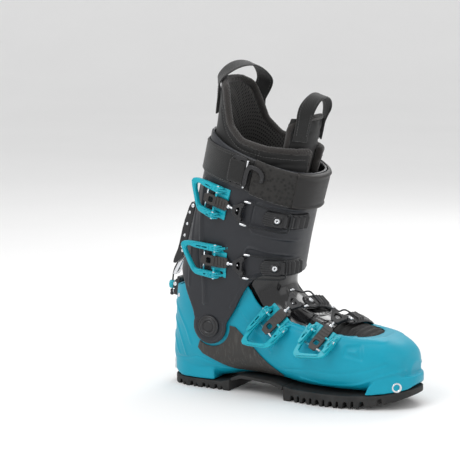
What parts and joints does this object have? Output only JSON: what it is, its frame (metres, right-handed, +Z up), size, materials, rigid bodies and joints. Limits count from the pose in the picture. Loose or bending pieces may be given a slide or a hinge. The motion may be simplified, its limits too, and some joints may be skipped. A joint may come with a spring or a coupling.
{
  "type": "alpine touring boot",
  "caption": "Right-foot touring ski boot: blue lower shell with lugged sole, hinged grey cuff, four wire buckles, power strap, ski/walk lever and padded inner boot.",
  "frame": {"origin": "on the ground under the middle of the heel tread", "axes": "+X to the toe, +Y to the inner side of the right foot, +Z up"},
  "size_m": [0.3186, 0.1361, 0.3716],
  "materials": {
    "shell_blue": "satin moulded plastic",
    "lever_blue": "anodised and painted, satin",
    "cuff_grey": "satin moulded plastic",
    "stiffener_grey": "carbon-filled, satin",
    "gloss_black": "polished",
    "buckle_black": "satin",
    "link_brown": "matt",
    "soft_rubber": "soft, ribbed",
    "sole_rubber": "matt",
    "steel": "bright",
    "liner_fabric": "knit over foam",
    "strap_pad": "textured neoprene",
    "webbing": "woven",
    "footbed_felt": "felt",
    "board_foam": "foam",
    "cord": "braided"
  },
  "bodies": {
    "root": {"lower_shell": "shell_blue", "stiffener_lateral": "stiffener_grey", "stiffener_medial": "stiffener_grey", "sole_heel": "sole_rubber", "sole_forefoot": "sole_rubber", "sole_arch": "sole_rubber", "boot_board": "board_foam", "footbed": "footbed_felt", "tongue": "gloss_black", "tongue_flex": "gloss_black", "toe_cover": "soft_rubber", "liner_foot": "liner_fabric", "liner_ankle": "liner_fabric", "instep_base": "lever_blue", "instep_rack": "buckle_black", "toe_base": "lever_blue", "toe_rack": "buckle_black", "pivot_lateral": "buckle_black", "pivot_medial": "buckle_black", "toe_insert_lateral": "steel", "toe_insert_medial": "steel", "heel_fitting": "steel", "mode_catch": "buckle_black", "mode_catch_pin": "steel"},
    "cuff": {"cuff": "cuff_grey", "cuff_upper_base": "lever_blue", "cuff_upper_rack": "buckle_black", "cuff_lower_base": "lever_blue", "cuff_lower_rack": "buckle_black", "power_strap_webbing": "webbing", "power_strap_pad": "strap_pad", "power_strap_anchor": "buckle_black", "mode_housing": "buckle_black", "mode_lever_pin": "steel", "liner_shaft": "liner_fabric", "liner_tongue": "liner_fabric", "rear_pull_loop": "webbing", "tongue_pull_loop": "webbing"},
    "cuff_upper_lever": {"cuff_upper_lever": "lever_blue"},
    "cuff_upper_link": {"cuff_upper_link": "link_brown", "cuff_upper_yoke": "buckle_black"},
    "cuff_upper_bail": {"cuff_upper_bail": "steel"},
    "cuff_lower_lever": {"cuff_lower_lever": "lever_blue"},
    "cuff_lower_link": {"cuff_lower_link": "link_brown", "cuff_lower_yoke": "buckle_black"},
    "cuff_lower_bail": {"cuff_lower_bail": "steel"},
    "power_strap_buckle": {"power_strap_buckle": "buckle_black"},
    "mode_lever": {"mode_lever": "buckle_black", "mode_cord": "cord", "mode_cord_bead": "lever_blue"},
    "mode_lock_bar": {"mode_lock_bar": "steel"},
    "instep_lever": {"instep_lever": "lever_blue"},
    "instep_link": {"instep_link": "link_brown", "instep_yoke": "buckle_black"},
    "instep_bail": {"instep_bail": "steel"},
    "toe_lever": {"toe_lever": "lever_blue"},
    "toe_link": {"toe_link": "link_brown", "toe_yoke": "buckle_black"},
    "toe_bail": {"toe_bail": "steel"}
  },
  "joints": [
    {"name": "cuff_pivot", "type": "hinge", "parent": "root", "child": "cuff", "pos_m": [0.027, 0, 0.077], "axis": [0, 1, 0], "range_deg": [-48, 6], "deforming": ["tongue_flex", "liner_ankle"]},
    {"name": "cuff_upper_lever_hinge", "type": "hinge", "parent": "cuff", "child": "cuff_upper_lever", "pos_m": [0.03962, -0.05964, 0.22007], "axis": [0.2584, -0.0438, 0.9651], "range_deg": [0, 110]},
    {"name": "cuff_upper_link_hinge", "type": "hinge", "parent": "cuff_upper_lever", "child": "cuff_upper_link", "pos_m": [0.02615, -0.05332, 0.22396], "axis": [0.2584, -0.0438, 0.9651], "range_deg": [-121, 0]},
    {"name": "cuff_upper_bail_hinge", "type": "hinge", "parent": "cuff_upper_link", "child": "cuff_upper_bail", "pos_m": [0.07268, -0.05925, 0.21123], "axis": [-0.2584, 0.0438, -0.9651], "range_deg": [0, 60]},
    {"name": "cuff_lower_lever_hinge", "type": "hinge", "parent": "cuff", "child": "cuff_lower_lever", "pos_m": [0.03792, -0.0585, 0.15251], "axis": [0.0779, -0.0128, 0.9969], "range_deg": [0, 110]},
    {"name": "cuff_lower_link_hinge", "type": "hinge", "parent": "cuff_lower_lever", "child": "cuff_lower_link", "pos_m": [0.02313, -0.05443, 0.15371], "axis": [0.0779, -0.0128, 0.9969], "range_deg": [-121, 0]},
    {"name": "cuff_lower_bail_hinge", "type": "hinge", "parent": "cuff_lower_link", "child": "cuff_lower_bail", "pos_m": [0.07158, -0.05499, 0.14992], "axis": [-0.0779, 0.0128, -0.9969], "range_deg": [0, 60]},
    {"name": "instep_lever_hinge", "type": "hinge", "parent": "root", "child": "instep_lever", "pos_m": [0.10875, -0.05082, 0.09167], "axis": [-0.7811, 0.2312, 0.5801], "range_deg": [0, 110]},
    {"name": "instep_link_hinge", "type": "hinge", "parent": "instep_lever", "child": "instep_link", "pos_m": [0.0995, -0.05125, 0.07938], "axis": [-0.7811, 0.2312, 0.5801], "range_deg": [-121, 0]},
    {"name": "instep_bail_hinge", "type": "hinge", "parent": "instep_link", "child": "instep_bail", "pos_m": [0.12984, -0.03596, 0.11414], "axis": [0.7811, -0.2312, -0.5801], "range_deg": [0, 60]},
    {"name": "toe_lever_hinge", "type": "hinge", "parent": "root", "child": "toe_lever", "pos_m": [0.16794, -0.05448, 0.08167], "axis": [-0.9164, 0.1391, 0.3754], "range_deg": [0, 110]},
    {"name": "toe_link_hinge", "type": "hinge", "parent": "toe_lever", "child": "toe_link", "pos_m": [0.1618, -0.06044, 0.06889], "axis": [-0.9164, 0.1391, 0.3754], "range_deg": [-121, 0]},
    {"name": "toe_bail_hinge", "type": "hinge", "parent": "toe_link", "child": "toe_bail", "pos_m": [0.17968, -0.02826, 0.10062], "axis": [0.9164, -0.1391, -0.3754], "range_deg": [0, 60]},
    {"name": "mode_lever_hinge", "type": "hinge", "parent": "cuff", "child": "mode_lever", "pos_m": [-0.0144, 0, 0.20649], "axis": [0, 1, 0], "range_deg": [0, 38]},
    {"name": "mode_lock_bar_hinge", "type": "hinge", "parent": "mode_lever", "child": "mode_lock_bar", "pos_m": [-0.02846, 0, 0.15332], "axis": [0, 1, 0], "range_deg": [-19, 0]},
    {"name": "power_strap_buckle_hinge", "type": "hinge", "parent": "cuff", "child": "power_strap_buckle", "pos_m": [0.05661, -0.0585, 0.2594], "axis": [-0.2504, 0, -0.9681], "range_deg": [0, 60]}
  ],
  "couplings": [
    {"joint": "cuff_upper_link_hinge", "follows": "cuff_upper_lever_hinge", "ratio": -1.1},
    {"joint": "cuff_lower_link_hinge", "follows": "cuff_lower_lever_hinge", "ratio": -1.1},
    {"joint": "instep_link_hinge", "follows": "instep_lever_hinge", "ratio": -1.1},
    {"joint": "toe_link_hinge", "follows": "toe_lever_hinge", "ratio": -1.1},
    {"joint": "mode_lock_bar_hinge", "follows": "mode_lever_hinge", "ratio": -0.5}
  ]
}
